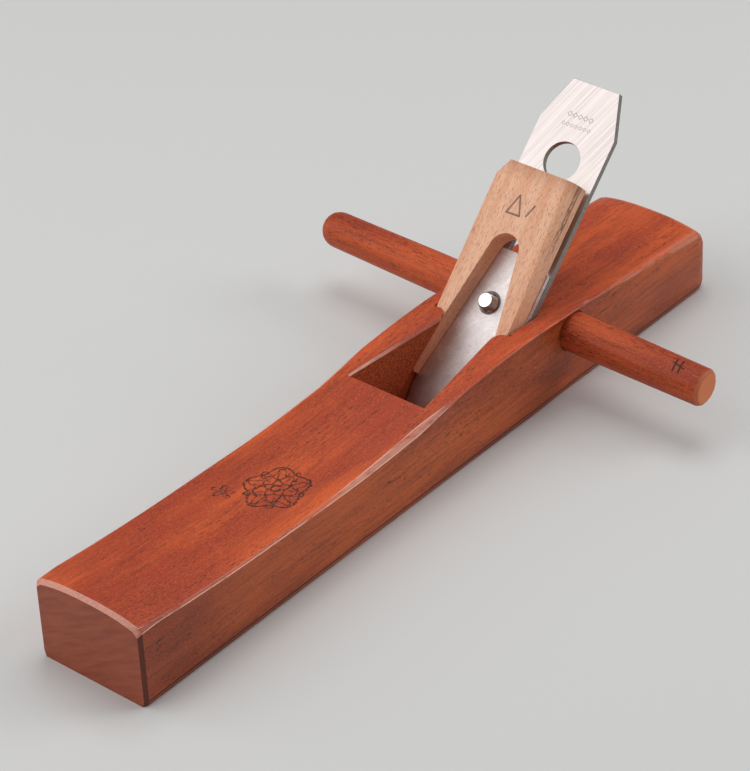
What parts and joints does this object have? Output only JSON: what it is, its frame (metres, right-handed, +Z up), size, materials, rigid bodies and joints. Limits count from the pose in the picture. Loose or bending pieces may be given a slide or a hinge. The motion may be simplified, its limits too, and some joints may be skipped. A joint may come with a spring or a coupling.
{
  "type": "hand plane",
  "caption": "Long wooden hand plane with a sloping throat, steel iron and cap iron, forked wedge and a cross handle through the stock.",
  "frame": {"origin": "middle of the flat sole, on the surface the plane rests on", "axes": "+X along the sole towards the toe, the end in front of the cutting edge; +Y across the plane; +Z up"},
  "size_m": [0.4, 0.2274, 0.122],
  "materials": {
    "rosewood": "oiled, satin",
    "handle_rosewood": "oiled, worn satin",
    "beech": "oiled, dented",
    "brushed_steel": "ground and brushed",
    "dull_steel": "scratched and tarnished",
    "bright_steel": "turned"
  },
  "bodies": {
    "body": {"stock": "rosewood"},
    "handle": {"cross_handle": "handle_rosewood"},
    "iron": {"plane_iron": "brushed_steel"},
    "cap": {"cap_iron": "dull_steel"},
    "screw": {"cap_screw": "bright_steel"},
    "wedge": {"wedge": "beech"}
  },
  "joints": [
    {"name": "handle_slide", "type": "slide", "parent": "body", "child": "handle", "axis": [0.0205, 0.9998, -0.0082], "range_m": [-0.03, 0.03]},
    {"name": "iron_depth", "type": "slide", "parent": "body", "child": "iron", "axis": [-0.7071, 0, 0.7071], "range_m": [-0.0012, 0.02]},
    {"name": "cap_set_back", "type": "slide", "parent": "iron", "child": "cap", "axis": [-0.7071, 0, 0.7071], "range_m": [-0.001, 0.006]},
    {"name": "screw_turn", "type": "hinge", "parent": "cap", "child": "screw", "pos_m": [-0.07374, -0.0028, 0.04264], "axis": [0.7071, 0, 0.7071], "range_deg": [-720, 0]},
    {"name": "wedge_slide", "type": "slide", "parent": "body", "child": "wedge", "axis": [-0.7071, 0, 0.7071], "range_m": [0, 0.025]}
  ]
}
